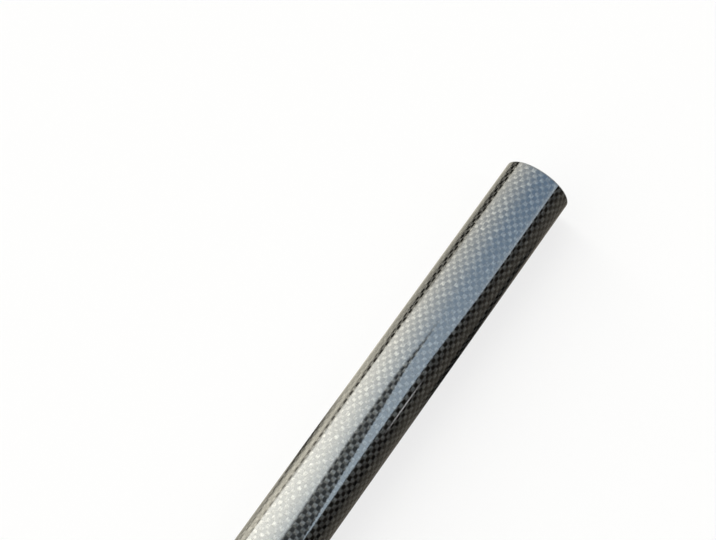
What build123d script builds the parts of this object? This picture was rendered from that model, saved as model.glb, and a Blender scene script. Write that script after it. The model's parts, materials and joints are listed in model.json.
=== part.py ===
from build123d import *
import os

# Carbon fibre tube: one length of round, thin-walled stock, lying along X with its lowest line at Z = 0.
# The origin is on the floor under the middle of the tube. All sizes are in millimetres.

# Driving dimensions
outer_diameter = 32.0
wall = 2.0
length = 500.0
outer_edge_break = 0.3  # chamfer that takes the sharp edge off the sawn rim
inner_edge_break = 0.2  # lighter chamfer where the bore meets the sawn face

# Worked out from the driving dimensions
outer_radius = outer_diameter / 2
bore_radius = outer_radius - wall


def end_rims(solid, radius):
    """The two circular edges of the given radius, one on each end of the tube."""
    circles = solid.edges().filter_by(GeomType.CIRCLE)
    return circles.filter_by(lambda edge: abs(edge.radius - radius) < wall / 4)


def make_tube():
    """The wall's ring, extruded both ways from the middle, with both rims of each end broken."""
    ring = Circle(outer_radius) - Circle(bore_radius)
    tube = extrude(Plane.YZ * ring, amount=length / 2, both=True)
    tube = chamfer(end_rims(tube, outer_radius), outer_edge_break)
    tube = chamfer(end_rims(tube, bore_radius), inner_edge_break)
    return Pos(0, 0, outer_radius) * tube


os.makedirs("parts", exist_ok=True)
export_step(make_tube(), "parts/tube.step")
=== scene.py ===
import json
from math import cos, pi, radians, sin

import bpy
import numpy as np
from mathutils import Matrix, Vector


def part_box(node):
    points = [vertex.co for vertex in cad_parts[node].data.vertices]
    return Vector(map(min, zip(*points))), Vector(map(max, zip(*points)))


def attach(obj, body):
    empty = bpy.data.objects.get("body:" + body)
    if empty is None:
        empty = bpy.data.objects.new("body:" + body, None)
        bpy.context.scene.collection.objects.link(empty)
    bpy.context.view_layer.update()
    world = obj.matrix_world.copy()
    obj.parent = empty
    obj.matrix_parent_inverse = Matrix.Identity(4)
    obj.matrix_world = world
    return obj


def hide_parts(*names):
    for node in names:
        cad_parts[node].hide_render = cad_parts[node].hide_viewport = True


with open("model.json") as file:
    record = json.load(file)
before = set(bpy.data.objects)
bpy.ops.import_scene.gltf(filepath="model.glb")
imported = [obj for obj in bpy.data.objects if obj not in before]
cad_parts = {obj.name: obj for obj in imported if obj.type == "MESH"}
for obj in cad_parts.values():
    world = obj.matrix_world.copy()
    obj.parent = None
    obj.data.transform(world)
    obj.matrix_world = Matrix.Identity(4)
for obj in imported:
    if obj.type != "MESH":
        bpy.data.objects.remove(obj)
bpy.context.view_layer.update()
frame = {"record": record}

MM = 0.001

# The tube's sizes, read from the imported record's mounts and the node's box
mounts = {mount["name"]: mount for mount in frame["record"]["mounts"]}
outer_radius = mounts["outside"]["dims"]["r_mm"] * MM
bore_radius = mounts["bore"]["dims"]["r_mm"] * MM
axis_height = mounts["outside"]["pos_m"][2]
tube_low, tube_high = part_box("tube")
half_length = (tube_high.x - tube_low.x) / 2
outer_break = half_length - mounts["outside"]["dims"]["length_mm"] * MM / 2
inner_break = half_length - mounts["bore"]["dims"]["length_mm"] * MM / 2

# The cloth: a plain weave of flat tows, with one set along the tube and one round it. It is counted in cells.
# Each cell is where two tows cross, with the long one and the round one on top by turns.
columns = 54  # tows that run along the tube, counted round it
rows = 228  # tows that run round the tube, counted along it
column_steps = 3  # faces across each cell, round the tube
row_steps = 2  # faces across each cell, along the tube
weave_depth = 0.05 * MM
sanded_rim = 0.12 * MM  # a plain ring at each end, where the coat is sanded off
row_sway = 0.5 * MM  # how far the round tows run out of square at the tube's two sides
column_sway = 0.25 * MM  # how far the long tows wander sideways
column_sway_wave = 170 * MM  # the length over which they wander and come back

noise_range = (0.3, 0.7)  # nearly all of a noise lies between these


class Nodes:
    """A node tree, with one short method for each kind of node used here."""

    def __init__(self, tree):
        self.tree = tree
        tree.nodes.clear()

    def new(self, kind, **settings):
        node = self.tree.nodes.new(kind)
        for name, value in settings.items():
            setattr(node, name, value)
        return node

    def feed(self, socket, value):
        if isinstance(value, bpy.types.NodeSocket):
            self.tree.links.new(value, socket)
        else:
            socket.default_value = value

    def math(self, operation, *values):
        node = self.new("ShaderNodeMath", operation=operation)
        for socket, value in zip(node.inputs, values):
            self.feed(socket, value)
        return node.outputs[0]

    def plus(self, first, second):
        return self.math("ADD", first, second)

    def minus(self, first, second):
        return self.math("SUBTRACT", first, second)

    def times(self, first, second):
        return self.math("MULTIPLY", first, second)

    def vector(self, operation, *values):
        node = self.new("ShaderNodeVectorMath", operation=operation)
        for socket, value in zip(node.inputs, values):
            self.feed(socket, value)
        return node.outputs["Vector"]

    def added(self, first, second):
        return self.vector("ADD", first, second)

    def scaled(self, vector, scale):
        node = self.new("ShaderNodeVectorMath", operation="SCALE")
        self.feed(node.inputs[0], vector)
        self.feed(node.inputs["Scale"], scale)
        return node.outputs["Vector"]

    def ramp(self, value, start, end, low=0.0, high=1.0, smooth=True):
        """From low, where value is start, to high, where it is end, and no further."""
        kind = "SMOOTHSTEP" if smooth else "LINEAR"
        node = self.new("ShaderNodeMapRange", interpolation_type=kind)
        for socket, given in zip(node.inputs, (value, start, end, low, high)):
            self.feed(socket, given)
        return node.outputs[0]

    def between(self, value, left, right):
        """1 from the left edge to the right one, and 0 beyond them."""
        return self.times(self.ramp(value, *left), self.ramp(value, *right, 1.0, 0.0))

    def mix(self, factor, first, second, kind="FLOAT"):
        node = self.new("ShaderNodeMix", data_type=kind)
        first_socket = {"FLOAT": 2, "VECTOR": 4}[kind]
        self.feed(node.inputs[0], factor)
        self.feed(node.inputs[first_socket], first)
        self.feed(node.inputs[first_socket + 1], second)
        return node.outputs[first_socket // 2 - 1]

    def split(self, vector):
        node = self.new("ShaderNodeSeparateXYZ")
        self.feed(node.inputs[0], vector)
        return node.outputs

    def join(self, x, y, z):
        node = self.new("ShaderNodeCombineXYZ")
        for socket, value in zip(node.inputs, (x, y, z)):
            self.feed(socket, value)
        return node.outputs[0]

    def noise(self, vector, scale, detail):
        node = self.new("ShaderNodeTexNoise")
        self.feed(node.inputs["Vector"], vector)
        self.feed(node.inputs["Scale"], scale)
        self.feed(node.inputs["Detail"], detail)
        return node.outputs["Fac"]

    def hashed(self, value, low, high):
        """A number from low to high that differs for each whole number."""
        node = self.new("ShaderNodeTexWhiteNoise", noise_dimensions="1D")
        self.feed(node.inputs["W"], value)
        return self.ramp(node.outputs["Value"], 0.0, 1.0, low, high, smooth=False)

    def choose(self, share, first, second):
        """The second shader in the given share, and the first in the rest."""
        node = self.new("ShaderNodeMixShader")
        self.feed(node.inputs[0], share)
        self.feed(node.inputs[1], first.outputs[0])
        self.feed(node.inputs[2], second.outputs[0])
        return node

    def show(self, shader, output="ShaderNodeOutputMaterial"):
        self.feed(self.new(output).inputs["Surface"], shader.outputs[0])


def new_material(name):
    material = bpy.data.materials.new(name)
    material.use_nodes = True
    return material, Nodes(material.node_tree)


def principled(nodes, **inputs):
    shader = nodes.new("ShaderNodeBsdfPrincipled")
    for name, value in inputs.items():
        nodes.feed(shader.inputs[name.replace("_", " ")], value)
    nodes.show(shader)


# Camera: it looks down on the far end, which lies up and to the right in the picture
picture_width = 716
focal_pixels = 1500
sensor_width = 36.0
camera_elevation = 70.93
tube_heading = 35.16  # how far the tube's axis turns right of the camera's forward direction
end_above = -38.9  # the far end's centre from the camera, in tube radii
end_right = 5.02
end_forward = 15.975


def place_camera():
    camera = bpy.data.objects.new("camera", bpy.data.cameras.new("camera"))
    bpy.context.scene.collection.objects.link(camera)
    camera.data.sensor_width = sensor_width
    camera.data.lens = sensor_width * focal_pixels / picture_width
    heading, elevation = radians(tube_heading), radians(camera_elevation)
    forward = Vector((cos(heading), sin(heading), 0))
    right = Vector((sin(heading), -cos(heading), 0))
    end = Vector((half_length, 0, axis_height))
    offset = right * end_right + forward * end_forward + Vector((0, 0, end_above))
    camera.location = end - offset * outer_radius
    looking = forward * cos(elevation) - Vector((0, 0, sin(elevation)))
    camera.rotation_euler = looking.to_track_quat("-Z", "Y").to_euler()
    bpy.context.scene.camera = camera


# Studio light, drawn on the world for the tube's gloss: one wide panel that turns from white to blue overhead,
# with a dark gap in it. Angles are in degrees round the tube's axis, from straight up towards its shaded side,
# -Y, and right is towards that side. Reach is the part of a direction that runs along the tube. To the camera,
# the tube's far end reflects a reach of 0.385, and the picture's lower edge one of about 0.1. A pair of angles
# or reaches is where a change starts and where it ends.
white_reach, white_light = (0.345, 0.115), (4.25, 9.75)  # the white is stronger towards the near end
white_low, white_high = (1.01, 1.0, 0.92), (0.99, 1.0, 0.94)  # its tint at the panel's left edge and higher up
tint_end = -50.0
turn_start, turn_end = (-90.0, -42.0), (5.0, 35.0)  # where it turns to blue, at the two reaches of the white
blue_reach = (0.4, 0.15)
blue_light = ((1.46, 2.17, 3.07), (3.65, 4.42, 5.09))
panel_left = (-97.1, -82.1)
left_wave, left_peak, left_sway = 0.146, 0.298, 3.3  # the left edge is a wave: its length, a crest, its degrees
panel_right, right_soft = 55.5, 0.5  # the right edge, and how soft it is
right_bends = (0.235, 0.31, 10.0), (0.19, 0.11, 4.5)  # the reaches over which it moves right, and how far
low_reach, panel_fade = (0.015, 0.088), (0.39, 0.45)  # the panel's two ends
rim_light = (3.2, 3.8, 4.4)  # a paler rim on the panel's right edge
rim_width = 16.0
rim_reach = (0.22, 0.34)

# The gap in the panel. Its right edge lies at gap_right where the reach is gap_reach, and moves by gap_slope
# degrees for each 1 of reach, but no further left than gap_least.
gap_left = (-11.0, -1.0)
gap_bends = (0.22, 0.265, 10.0), (0.19, 0.1, 10.0)  # over these reaches the left edge moves right, this far
gap_right, gap_reach, gap_slope = 20.5, 0.207, 370.0
gap_least = 9.0
gap_soft = (-1.5, 1.0)
gap_tip = (0.25, 0.28)  # it ends in a soft tip towards the far end
gap_depth = 0.93

# A bright streak right of the panel
streak_light = (5.4, 5.4, 5.5)
streak_left, streak_right = (73.2, 74.4), (76.5, 77.9)
streak_ends = (0.188, 0.211), (0.2135, 0.2405)

# Past the panel's two ends, where the camera sees no reflection, two strips of light take its place
high_reach = (0.47, 0.6)
strip_light = (2.0, 1.95, 1.85)
strip_angles = ((-41.0, -39.0), (-32.0, -30.0)), ((25.0, 27.0), (34.0, 36.0))
fill_light = (0.052, 0.042, 0.03)  # a little light from all round

# What matt surfaces are lit by, which comes mostly from one side, and what the camera sees past the floor
soft_light, soft_fill = (2.1, 2.1, 2.0), (0.17, 0.13, 0.09)
soft_left, soft_right = (-85.0, -55.0), (-30.0, 0.0)
backdrop_level = 0.98


def bent(nodes, reach, bends):
    """How far an edge has moved at this reach, in degrees."""
    return nodes.plus(*(nodes.ramp(reach, start, end, 0.0, move) for start, end, move in bends))


def panel_light(nodes, reach, angle, past_right):
    """The panel's colour: white that turns to blue, and a paler rim."""
    near = nodes.ramp(reach, *white_reach)
    tint = nodes.mix(nodes.ramp(angle, panel_left[0], tint_end), white_low, white_high, "VECTOR")
    white = nodes.scaled(tint, nodes.mix(near, *white_light))
    blue = nodes.mix(nodes.ramp(reach, *blue_reach), *blue_light, "VECTOR")
    start, end = nodes.mix(near, *turn_start), nodes.mix(near, *turn_end)
    panel = nodes.mix(nodes.ramp(angle, start, end, smooth=False), white, blue, "VECTOR")
    rim = nodes.times(nodes.ramp(past_right, -rim_width, 0.0), nodes.ramp(reach, *rim_reach))
    return nodes.mix(rim, panel, rim_light, "VECTOR")


def gap_share(nodes, reach, angle):
    """How much of the panel's light the gap takes away."""
    right = nodes.math("MULTIPLY_ADD", nodes.minus(gap_reach, reach), gap_slope, gap_right)
    past_right = nodes.minus(angle, nodes.math("MAXIMUM", right, gap_least))
    past_left = nodes.minus(angle, bent(nodes, reach, gap_bends))
    gap = nodes.times(nodes.ramp(past_left, *gap_left), nodes.ramp(past_right, *gap_soft, gap_depth, 0.0))
    return nodes.times(gap, nodes.ramp(reach, *gap_tip, 1.0, 0.0))


def panel_share(nodes, reach, angle, past_right):
    """1 on the panel, 0 off it, and little in its gap."""
    wave = nodes.math("COSINE", nodes.times(nodes.minus(reach, left_peak), 2 * pi / left_wave))
    past_left = nodes.math("MULTIPLY_ADD", wave, -left_sway, angle)
    up_to_right = nodes.ramp(past_right, -right_soft, right_soft, 1.0, 0.0)
    lit = nodes.times(nodes.ramp(past_left, *panel_left), up_to_right)
    lit = nodes.times(lit, nodes.minus(1.0, gap_share(nodes, reach, angle)))
    return nodes.times(lit, nodes.between(reach, low_reach, panel_fade))


def studio_light(nodes, reach, angle):
    """What glossy surfaces reflect: the panel, the streak, the two strips and a little light all over."""
    past_right = nodes.minus(nodes.minus(angle, panel_right), bent(nodes, reach, right_bends))
    place = nodes, reach, angle, past_right
    light = nodes.scaled(panel_light(*place), panel_share(*place))
    streak = nodes.times(nodes.between(angle, streak_left, streak_right), nodes.between(reach, *streak_ends))
    light = nodes.added(light, nodes.scaled(streak_light, streak))
    strips = nodes.plus(*(nodes.between(angle, left, right) for left, right in strip_angles))
    past_ends = nodes.plus(nodes.ramp(reach, *low_reach, 1.0, 0.0), nodes.ramp(reach, *high_reach))
    light = nodes.added(light, nodes.scaled(strip_light, nodes.times(strips, past_ends)))
    return nodes.added(light, fill_light)


def background(nodes, colour):
    shader = nodes.new("ShaderNodeBackground")
    nodes.feed(shader.inputs["Color"], colour)
    return shader


def light_world():
    world = bpy.data.worlds.new("studio")
    bpy.context.scene.world = world
    world.use_nodes = True
    nodes = Nodes(world.node_tree)
    reach, y, z = nodes.split(nodes.new("ShaderNodeTexCoord").outputs["Generated"])
    angle = nodes.math("DEGREES", nodes.math("ARCTAN2", nodes.times(y, -1.0), z))
    soft = nodes.added(nodes.scaled(soft_light, nodes.between(angle, soft_left, soft_right)), soft_fill)
    backdrop = (backdrop_level, backdrop_level, backdrop_level, 1.0)
    ray = nodes.new("ShaderNodeLightPath")
    seen = background(nodes, studio_light(nodes, reach, angle))
    for kind, colour in (("Is Diffuse Ray", soft), ("Is Camera Ray", backdrop)):
        seen = nodes.choose(ray.outputs[kind], seen, background(nodes, colour))
    nodes.show(seen, "ShaderNodeOutputWorld")


# The floor
floor_size = 6.0
floor_colour = (0.8, 0.8, 0.8, 1.0)
floor_white = 0.99  # to the camera the floor also glows a little below white,
floor_glow = 0.8  # and this is the glow's share, which keeps the shadow light

# The cards on the floor. Places on them are along the tube, from its middle, and out from its line, in metres.
# The first card is a pale mat with a curved edge, on the side +Y.
card_start = 0.9 * outer_radius
card_height = 0.2 * MM
warm_tint = (1.05, 1.0, 0.84)
mat_steps = (0.098, 0.138, 1.08), (0.15, 0.175, -0.2)  # where along it the level changes, and by how much
# The crease is painted shade, a dark line in the mat's glow
crease_start, crease_slope = (0.1015, 0.0195), 1.14  # a dark crease runs over the mat at a slant
crease_width, crease_depth = (0.0015, 0.006), 0.8
past_crease = (0.0, 0.007, 0.7)  # towards the near end it is paler from the crease on
# Painted contact shadow: the mat darkens against the tube
close_out, close_along = (0.0203, 0.0178), (0.15, 0.125)  # the mat darkens against the tube
close_painted_shadow = 0.75
bright_levels, bright_along = (3.6, 1.5), (0.11, 0.2)  # the mat's outer part
bright_out = (0.03, 0.09)
beyond_level, beyond_along = 3.5, (0.03, 0.205)  # the floor past the mat's edge darkens towards the far end
bend_along, bend_out, bend_area = 0.075, 0.023, 0.00595  # the mat's edge is a curve that nears these two lines
bend_soft = 0.0016
haze_level, haze_out = 3.0, (0.35, 1.5)  # far out it all evens out

# The second card is a dim grey floor, on the side -Y: painted shade, the floor's shaded side as the tube
# reflects it
grey_tint = (1.1, 1.0, 0.82)
grey_level = 0.22
# Painted shadow: the tube's shadow on the floor, drawn as a dark patch beside it
shade_along, shade_out, shade_slope = 0.13, 0.0225, 0.17  # a dark patch lies along a line from this place
shade_width = (0.007, 0.014)
shade_ends = (0.125, 0.155), (0.225, 0.245)
# Painted contact shadow of the tube along its foot
foot_out, foot_end = (0.018, 0.0205), (0.2, 0.225)  # it is dark against the tube, up to near the far end
dark_out = (0.08, 0.16)  # its outer part is dark towards the near end, up to a slanted line
dark_slope = 0.33
dark_along = (0.07, 0.115)


def glowing(name, colour):
    """An even glow; colour comes from the material's nodes, from the place on the card."""
    material, nodes = new_material(name)
    x, y, _ = nodes.split(nodes.new("ShaderNodeTexCoord").outputs["Object"])
    glow = nodes.new("ShaderNodeEmission")
    nodes.feed(glow.inputs["Color"], colour(nodes, x, nodes.math("ABSOLUTE", y)))
    nodes.show(glow)
    return material


def mat_level(nodes, x, out, before):
    """The mat itself; before is how far the place lies on the near side of its crease."""
    mat = 0.0
    for start, end, change in mat_steps:
        mat = nodes.plus(mat, nodes.ramp(x, start, end, 0.0, change))
    start, end, change = past_crease
    mat = nodes.plus(mat, nodes.ramp(before, start, end, 0.0, change))
    # painted contact shadow of the tube
    close = nodes.times(nodes.ramp(out, *close_out), nodes.ramp(x, *close_along))
    mat = nodes.math("MAXIMUM", nodes.math("MULTIPLY_ADD", close, -close_painted_shadow, mat), 0.0)
    return nodes.mix(nodes.ramp(out, *bright_out), mat, nodes.ramp(x, *bright_along, *bright_levels))


def lit_glow(nodes, x, out):
    """A pale mat beside the tube, with a painted shadow of the tube against it, and past its curved edge a
    floor that is pale only towards the near end.
    """
    start_x, start_out = crease_start
    slant = nodes.times(nodes.minus(out, start_out), crease_slope)
    before = nodes.minus(nodes.minus(start_x, x), slant)
    area = nodes.times(nodes.minus(x, bend_along), nodes.minus(out, bend_out))
    past = nodes.ramp(area, bend_area - bend_soft, bend_area + bend_soft)
    beyond = nodes.ramp(x, *beyond_along, beyond_level, 0.0)
    level = nodes.mix(past, mat_level(nodes, x, out, before), beyond)
    level = nodes.mix(nodes.ramp(out, *haze_out), level, haze_level)
    crease = nodes.ramp(nodes.math("ABSOLUTE", before), *crease_width, crease_depth, 0.0)
    return nodes.scaled(warm_tint, nodes.times(level, nodes.minus(1.0, crease)))


def shaded_glow(nodes, x, out):
    """A dim grey floor, a painted shade, with a painted shadow of the tube as a dark patch beside it and dark
    against it, and a dark outer part.
    """
    middle = nodes.math("MULTIPLY_ADD", nodes.minus(x, shade_along), shade_slope, shade_out)
    off = nodes.math("ABSOLUTE", nodes.minus(out, middle))
    shade = nodes.times(nodes.ramp(off, *shade_width, 1.0, 0.0), nodes.between(x, *shade_ends))
    side = nodes.minus(x, nodes.times(out, dark_slope))
    dark = nodes.times(nodes.ramp(out, *dark_out), nodes.ramp(side, *dark_along, 1.0, 0.0))
    level = nodes.times(nodes.minus(1.0, shade), nodes.minus(1.0, dark))
    # painted contact shadow against the tube
    foot = nodes.math("MAXIMUM", nodes.ramp(out, *foot_out), nodes.ramp(x, *foot_end))
    return nodes.scaled(grey_tint, nodes.times(nodes.times(level, foot), grey_level))


def lay_flat(name, first, last, height=0.0):
    """A flat sheet of the stage, as long as the floor, between two lines along the tube."""
    corners = [(-floor_size, first), (floor_size, first), (floor_size, last), (-floor_size, last)]
    mesh = bpy.data.meshes.new(name)
    mesh.from_pydata([(x, y, height) for x, y in corners], [], [(0, 1, 2, 3)])
    sheet = bpy.data.objects.new(name, mesh)
    bpy.context.scene.collection.objects.link(sheet)
    return sheet


def floor_material():
    material, nodes = new_material("floor")
    matt = nodes.new("ShaderNodeBsdfDiffuse")
    nodes.feed(matt.inputs["Color"], floor_colour)
    glow = nodes.new("ShaderNodeEmission")
    nodes.feed(glow.inputs["Strength"], floor_white)
    to_camera = nodes.new("ShaderNodeLightPath").outputs["Is Camera Ray"]
    nodes.show(nodes.choose(nodes.times(to_camera, floor_glow), matt, glow))
    return material


def lay_floor():
    """The pale floor, and a card on each side of the tube that only the tube's reflections see. The cards stand
    for the mat and the dim room that glossy stock shows in its sides; they glow as painted reflections, and
    carry painted shade and painted shadows of the tube."""
    floor = lay_flat("floor", -floor_size, floor_size)
    floor.data.materials.append(floor_material())
    floor.visible_glossy = False
    for name, side, colour in (("lit_card", 1, lit_glow), ("shaded_card", -1, shaded_glow)):
        card = lay_flat(name, side * card_start, side * floor_size, card_height)
        card.data.materials.append(glowing(name, colour))
        card.visible_camera = False
        card.visible_diffuse = False
        card.visible_shadow = False
        card.visible_transmission = False


# The tube's mesh: rings of vertices, from the -X end out over the woven barrel, and back through the bore. The
# last ring is joined to the first.
around = columns * column_steps  # vertices in each ring
woven = rows * row_steps  # strips of faces over the barrel
bore_steps = 8  # strips over the bore
end_steps = 4  # at each end: the sanded ring, the outer edge's bevel, the sawn face and the bore's bevel
WOVEN, CUT, BORE = 0, 1, 2  # the mesh's materials
face_rings = np.array([0, 0, 1, 1])  # for each corner of a face, its steps to the next ring,
face_turns = np.array([0, 1, 1, 0])  # and its steps round the tube

# Places on the unit square that the surface is laid out on: the barrel's halves side by side, then the bore and
# the two ends in narrow strips
map_margin = 0.004
barrel_maps = (0.004, 0.4), (0.408, 0.804)
bore_map = (0.812, 0.93)
end_maps = (0.938, 0.963), (0.971, 0.996)


def swell(cells):
    """Height of the woven surface by one coordinate, counted in cells: 0 on a cell's edge, 1 in its middle."""
    return np.abs(np.sin(np.pi * cells))


def round_points(x, radius, angle):
    """Vertices at these places along the tube, distances from its axis and angles from its top line."""
    return np.stack([x, -radius * np.sin(angle), axis_height + radius * np.cos(angle)], axis=-1)


def plain_ring(x, radius):
    return round_points(np.full(around, x), radius, np.arange(around) * 2 * np.pi / around)


def woven_rings():
    """The barrel's rings, with its crests on the outer radius and its dips below it."""
    turn = np.arange(around)[None, :] / around
    place = np.arange(woven + 1)[:, None] / woven
    height = (swell(turn * columns) + swell(place * rows)) / 2
    radius = outer_radius - weave_depth * (1 - height)
    x = (half_length - outer_break - sanded_rim) * (2 * place - 1)
    inside = np.sin(np.pi * place)
    wander = column_sway / outer_radius * inside * np.sin(2 * np.pi * x / column_sway_wave)
    angle = 2 * np.pi * turn + wander
    return round_points(x + row_sway * inside * np.sin(angle), radius, angle)


def tube_rings():
    """All rings in order, and for each strip between two rings its material."""
    barrel = half_length - outer_break
    rim = outer_radius - weave_depth / 2
    edge = outer_radius - outer_break
    lip = bore_radius + inner_break
    bore_end = half_length - inner_break
    rings = [plain_ring(-barrel, rim), *woven_rings(), plain_ring(barrel, rim)]
    rings += [plain_ring(half_length, edge), plain_ring(half_length, lip)]
    rings += [plain_ring(x, bore_radius) for x in np.linspace(bore_end, -bore_end, bore_steps + 1)]
    rings += [plain_ring(-half_length, lip), plain_ring(-half_length, edge)]
    kinds = [CUT] + [WOVEN] * woven + [CUT] * end_steps + [BORE] * bore_steps + [CUT] * (end_steps - 1)
    return np.array(rings), np.array(kinds)


def strip_places(steps, turning, stretch):
    """A run of strips on the unit square: each one's start, its way round the tube and its way to the next."""
    left, right = stretch
    long_side = 1 - 2 * map_margin
    if turning:  # the way round the tube runs along the square's side
        step = (right - left) / steps
        return [((left + step * number, map_margin), (0, long_side), (step, 0)) for number in range(steps)]
    step = long_side / steps
    return [((left, map_margin + step * number), (right - left, 0), (0, step)) for number in range(steps)]


def flat_layout(turn):
    """The surface laid flat on the unit square; turn is each face corner's steps round the tube."""
    near_end, far_end = (strip_places(end_steps, True, stretch) for stretch in end_maps)
    first_half, second_half = (strip_places(woven // 2, False, stretch) for stretch in barrel_maps)
    bore = strip_places(bore_steps, False, bore_map)
    places = near_end[:1] + first_half + second_half + far_end + bore + near_end[:0:-1]
    start, round_way, ring_way = (np.array(part)[:, None, None, :] for part in zip(*places))
    return start + turn[..., None] / around * round_way + face_rings[:, None] * ring_way


def lay_out(mesh, name, places):
    """Keeps a flat place for each corner of each face, under this name."""
    mesh.uv_layers.new(name=name).data.foreach_set("uv", places.reshape(-1).astype(np.float32))


def make_tube():
    rings, kinds = tube_rings()
    ring, turn = np.meshgrid(np.arange(len(rings)), np.arange(around), indexing="ij")
    ring = ring[..., None] + face_rings
    turn = turn[..., None] + face_turns
    faces = ring % len(rings) * around + turn % around
    mesh = bpy.data.meshes.new("woven_tube")
    mesh.from_pydata(rings.reshape(-1, 3).tolist(), [], faces.reshape(-1, 4).tolist())
    lay_out(mesh, "Weave", np.stack([turn / column_steps, (ring - 1) / row_steps], axis=-1))  # counted in cells
    lay_out(mesh, "OFBake", flat_layout(turn))
    mesh.polygons.foreach_set("material_index", np.repeat(kinds, around).astype(np.int32))
    mesh.polygons.foreach_set("use_smooth", np.repeat(kinds != CUT, around))
    mesh.update()
    tube = bpy.data.objects.new("woven_tube", mesh)
    bpy.context.scene.collection.objects.link(tube)
    return tube


# The barrel's finish: fibres that shine across their own length, under a clear gloss coat
fibre_colour = (0.092, 0.089, 0.0815)
fibre_metallic = 0.65
fibre_roughness = 0.38
fibre_anisotropy = 0.5
# Painted sheen: the round tows' colour is darker than the long tows', for the light they catch less
round_tow_painted_sheen = 0.06  # the tows round the tube are darker than those along it
tow_edge = (-0.35, 0.5)  # where a long tow starts to give way to a round one, and where it has
tow_shades = (0.88, 1.12)
cell_shades = (0.76, 1.2)
tow_seed_step = 1000.0  # keeps the long tows' numbers apart from the round tows'
cell_seed_step = 331.0  # more than the rows, so each cell has its own number
filament_places = (9.0, 0.8, 3.7)  # filaments: how fast they change across a tow, along it and from tow to tow
filament_scale, filament_detail, filament_shades = 1.6, 2.0, (0.8, 1.2)
mottle_scale, mottle_detail, mottle_shades = 1100.0, 1.0, (0.62, 1.38)  # fine uneven shine within each tow
# Partly darker resin and partly painted shade in the grooves between the rows
row_groove_resin_and_shade = 0.1  # each round row of cells is paler in its middle than at its edges
crown_slope, crown_power = 0.16, 3.0  # a tow is rounded across, mostly at its edges,
crimp_slope = 0.1  # and bowed along its length, where it dives under the next
coat_over_long = 0.8  # the coat is a little thinner over the long tows' crests
coat_ior = 1.68
coat_roughness = 0.03
ripple_slopes = (0.001, 0.003)  # how far the weave shows in the coat, along the tube and round it
peel_slope, peel_scale, peel_detail = 0.006, 260.0, 1.0  # the coat's faint waviness, with its waves in a metre


class Cells:
    """Where a place lies in the weave."""

    def __init__(self, nodes):
        self.u, self.v, _ = nodes.split(nodes.new("ShaderNodeUVMap", uv_map="Weave").outputs[0])
        self.column = nodes.math("FLOOR", self.u)
        self.row = nodes.math("FLOOR", self.v)
        self.over_u = nodes.minus(nodes.math("FRACT", self.u), 0.5)  # from the cell's middle
        self.over_v = nodes.minus(nodes.math("FRACT", self.v), 0.5)
        self.long_on_top = nodes.math("FLOORED_MODULO", nodes.plus(self.column, self.row), 2.0)
        sines = [nodes.math("SINE", nodes.times(cell, pi)) for cell in (self.u, self.v)]
        self.checks = nodes.times(*sines)  # from -1 to 1, with one sign for each set of tows


def tow_slopes(nodes, cells):
    """The slopes of the tow that is on top, along the tube and round it."""

    def crown(across):
        return nodes.times(nodes.math("POWER", nodes.times(across, 2.0), crown_power), crown_slope)

    def crimp(along):
        return nodes.times(nodes.math("SINE", nodes.times(along, pi)), crimp_slope)

    along_tube = nodes.mix(cells.long_on_top, crown(cells.over_v), crimp(cells.over_v))
    round_tube = nodes.mix(cells.long_on_top, crimp(cells.over_u), crown(cells.over_u))
    return along_tube, round_tube


def coat_slopes(nodes, cells, place):
    """The slopes of the clear coat, along the tube and round it."""
    ripples = []
    for over, slope in zip((cells.over_v, cells.over_u), ripple_slopes):
        ripples.append(nodes.times(nodes.math("SINE", nodes.times(over, 2 * pi)), slope))
    peel = nodes.minus(nodes.noise(place, peel_scale, peel_detail), 0.5)
    return ripples[0], nodes.math("MULTIPLY_ADD", peel, 2 * peel_slope, ripples[1])


def surface_ways(nodes, place):
    """The exact round surface's directions: out, along the tube and round it."""
    _, y, z = nodes.split(place)
    out = nodes.vector("NORMALIZE", nodes.join(0.0, y, nodes.minus(z, axis_height)))
    length_way = nodes.join(1.0, 0.0, 0.0)
    return out, length_way, nodes.vector("CROSS_PRODUCT", length_way, out)


def in_world(nodes, vector, kind):
    node = nodes.new("ShaderNodeVectorTransform", vector_type=kind, convert_from="OBJECT", convert_to="WORLD")
    nodes.feed(node.inputs[0], vector)
    return node.outputs[0]


def tilted(nodes, ways, slopes):
    """The surface's normal, tilted by the slopes along the tube and round it."""
    out, length_way, round_way = ways
    leaning = nodes.added(nodes.scaled(length_way, slopes[0]), nodes.scaled(round_way, slopes[1]))
    return in_world(nodes, nodes.vector("NORMALIZE", nodes.added(out, leaning)), "NORMAL")


def fibre_light(nodes, cells, place):
    """How bright the fibres are: their filaments, each tow's and each cell's own shade, and the soft change
    from the tows along the tube to the darker ones round it, which is a painted sheen."""
    across = nodes.mix(cells.long_on_top, cells.over_v, cells.over_u)
    along = nodes.mix(cells.long_on_top, cells.over_u, cells.over_v)
    tow = nodes.mix(cells.long_on_top, cells.row, nodes.plus(cells.column, tow_seed_step))
    stretched = [nodes.times(value, scale) for value, scale in zip((across, along, tow), filament_places)]
    filaments = nodes.noise(nodes.join(*stretched), filament_scale, filament_detail)
    filaments = nodes.ramp(filaments, *noise_range, *filament_shades)
    cell = nodes.math("MULTIPLY_ADD", cells.column, cell_seed_step, cells.row)
    shade = nodes.times(nodes.hashed(tow, *tow_shades), nodes.hashed(cell, *cell_shades))
    mottle = nodes.noise(place, mottle_scale, mottle_detail)
    mottle = nodes.ramp(mottle, *noise_range, *mottle_shades)
    # painted sheen: the round tows are coloured darker than the long ones
    family = nodes.ramp(cells.checks, *tow_edge, 1.0, round_tow_painted_sheen)
    # darker at the row's edges: partly resin, partly painted shade in the grooves
    middle = nodes.math("COSINE", nodes.times(cells.over_v, 2 * pi))
    groove_resin_and_shade = nodes.math("MULTIPLY_ADD", middle, row_groove_resin_and_shade, 1.0)
    return nodes.times(nodes.times(filaments, nodes.times(shade, mottle)), nodes.times(family, groove_resin_and_shade))


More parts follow.
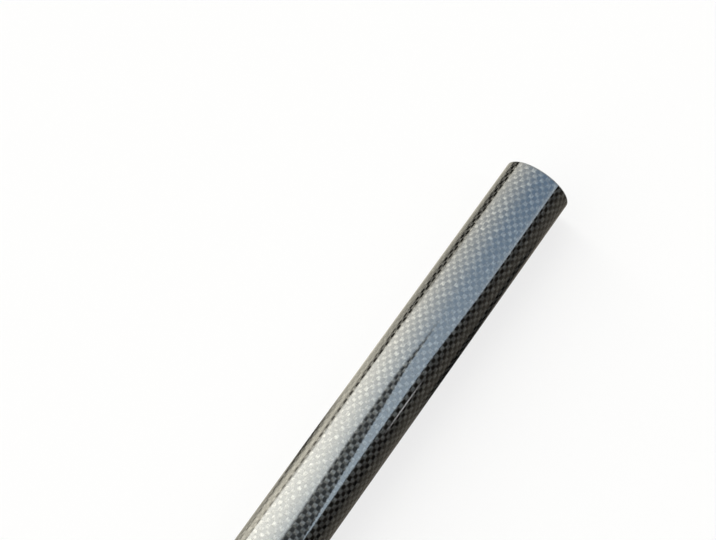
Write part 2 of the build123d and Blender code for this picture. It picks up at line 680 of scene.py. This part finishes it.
def weave_material():
    material, nodes = new_material("carbon_weave")
    place = nodes.new("ShaderNodeTexCoord").outputs["Object"]
    cells = Cells(nodes)
    ways = surface_ways(nodes, place)
    _, length_way, round_way = ways
    across_fibres = nodes.mix(cells.long_on_top, length_way, round_way, "VECTOR")
    principled(
        nodes,
        Base_Color=nodes.scaled(fibre_colour, fibre_light(nodes, cells, place)),
        Metallic=fibre_metallic,
        Roughness=fibre_roughness,
        Anisotropic=fibre_anisotropy,
        Specular_IOR_Level=0.0,
        Normal=tilted(nodes, ways, tow_slopes(nodes, cells)),
        Tangent=in_world(nodes, across_fibres, "VECTOR"),
        Coat_Weight=nodes.ramp(cells.checks, *tow_edge, coat_over_long, 1.0),
        Coat_Roughness=coat_roughness,
        Coat_IOR=coat_ior,
        Coat_Normal=tilted(nodes, ways, coat_slopes(nodes, cells, place)),
    )
    return material


def turns_round(nodes, y, up):
    """The angle round the tube's axis, in turns."""
    return nodes.math("DIVIDE", nodes.math("ARCTAN2", y, up), 2 * pi)


def bumped(nodes, height, distance):
    bump = nodes.new("ShaderNodeBump")
    nodes.feed(bump.inputs["Height"], height)
    nodes.feed(bump.inputs["Distance"], distance)
    return bump.outputs[0]


# The sawn ends: the wall's plies show as thin wavy rings, dulled by straight sanding marks
plies = 8
ply_waves = 27
ply_wave_height, ply_wave_shift = 0.16, 2.4  # in plies, and how much earlier each ply's wave runs, in radians
ply_edge = (0.5, 0.3)  # how far from its middle, in plies, a ply gives way to resin
ply_seed_step = 191.0  # more than a ply's tow ends, so each has its own number
tow_end_shades = (0.35, 1.0)
cut_dark, cut_pale = (0.012, 0.012, 0.013), (0.05, 0.05, 0.052)
sanding_marks = 9000.0  # marks a metre
mark_stretch = 40  # how much longer a mark is than it is wide
mark_detail = 3.0
mark_shades = (0.7, 1.2)
mark_depth = 0.02 * MM
cut_roughness = 0.55
scuffed = (0.2, 0.205, 0.21)  # the worn edge of the outer bevel
scuff_marks, scuff_shares = (0.25, 0.6), (0.5, 1.0)


def ply_fibres(nodes, turn, radius):
    """How much of a ply's fibres shows here: tow ends in wavy rings, with resin between them."""
    depth = nodes.times(nodes.minus(radius, bore_radius), plies / (outer_radius - bore_radius))
    shift = nodes.times(nodes.math("FLOOR", depth), ply_wave_shift)
    wave = nodes.math("SINE", nodes.math("MULTIPLY_ADD", turn, 2 * pi * ply_waves, shift))
    depth = nodes.math("MULTIPLY_ADD", wave, ply_wave_height, depth)
    off_middle = nodes.math("ABSOLUTE", nodes.minus(nodes.math("FRACT", depth), 0.5))
    tow = nodes.math("FLOOR", nodes.times(turn, 2 * ply_waves))
    seed = nodes.math("MULTIPLY_ADD", nodes.math("FLOOR", depth), ply_seed_step, tow)
    return nodes.times(nodes.ramp(off_middle, *ply_edge), nodes.hashed(seed, *tow_end_shades))


def cut_material():
    material, nodes = new_material("cut_end")
    x, y, z = nodes.split(nodes.new("ShaderNodeTexCoord").outputs["Object"])
    up = nodes.minus(z, axis_height)
    turn = turns_round(nodes, y, up)
    radius = nodes.math("SQRT", nodes.plus(nodes.times(y, y), nodes.times(up, up)))
    mark_place = nodes.join(nodes.times(y, sanding_marks / mark_stretch), nodes.times(z, sanding_marks), x)
    marks = nodes.noise(mark_place, 1.0, mark_detail)
    fibres = nodes.times(ply_fibres(nodes, turn, radius), nodes.ramp(marks, *noise_range, *mark_shades))
    colour = nodes.mix(fibres, cut_dark, cut_pale, "VECTOR")
    bevel = nodes.ramp(radius, outer_radius - outer_break, outer_radius - outer_break / 2)
    worn = nodes.times(bevel, nodes.ramp(marks, *scuff_marks, *scuff_shares))
    colour = nodes.mix(worn, colour, scuffed, "VECTOR")
    principled(nodes, Base_Color=colour, Roughness=cut_roughness, Normal=bumped(nodes, marks, mark_depth))
    return material


# The bore: satin resin that took the polish of the mandrel, with the inner cloth showing faintly through it
bore_columns = 44
bore_tow = 2.2 * MM
bore_seed_step = 211.0
bore_shades = (0.8, 1.1)
bore_tow_edge, bore_round_shade = (-0.4, 0.4), 0.25
smear_places, smear_detail, smear_shades = (8.0, 90.0, 90.0), 3.0, (0.7, 1.1)  # smears run along the tube
bore_dark, bore_pale = (0.012, 0.012, 0.013), (0.04, 0.04, 0.042)
bore_depth = 0.01 * MM
bore_roughness = 0.35


def bore_material():
    material, nodes = new_material("bore")
    place = nodes.new("ShaderNodeTexCoord").outputs["Object"]
    x, y, z = nodes.split(place)
    turn = turns_round(nodes, y, nodes.minus(z, axis_height))
    cell_u, cell_v = nodes.times(turn, bore_columns), nodes.math("DIVIDE", x, bore_tow)
    sines = [nodes.math("SINE", nodes.times(cell, pi)) for cell in (cell_u, cell_v)]
    checks = nodes.times(*sines)
    cell = nodes.math("MULTIPLY_ADD", nodes.math("FLOOR", cell_u), bore_seed_step, nodes.math("FLOOR", cell_v))
    family = nodes.ramp(checks, *bore_tow_edge, bore_round_shade, 1.0)
    fibres = nodes.times(family, nodes.hashed(cell, *bore_shades))
    smears = nodes.noise(nodes.vector("MULTIPLY", place, smear_places), 1.0, smear_detail)
    fibres = nodes.times(fibres, nodes.ramp(smears, *noise_range, *smear_shades))
    colour = nodes.mix(fibres, bore_dark, bore_pale, "VECTOR")
    principled(nodes, Base_Color=colour, Roughness=bore_roughness, Normal=bumped(nodes, checks, bore_depth))
    return material


place_camera()
light_world()
lay_floor()
tube = make_tube()
for finish in (weave_material(), cut_material(), bore_material()):
    tube.data.materials.append(finish)
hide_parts("tube")
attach(tube, "root")
bpy.context.scene.view_settings.view_transform = "Standard"
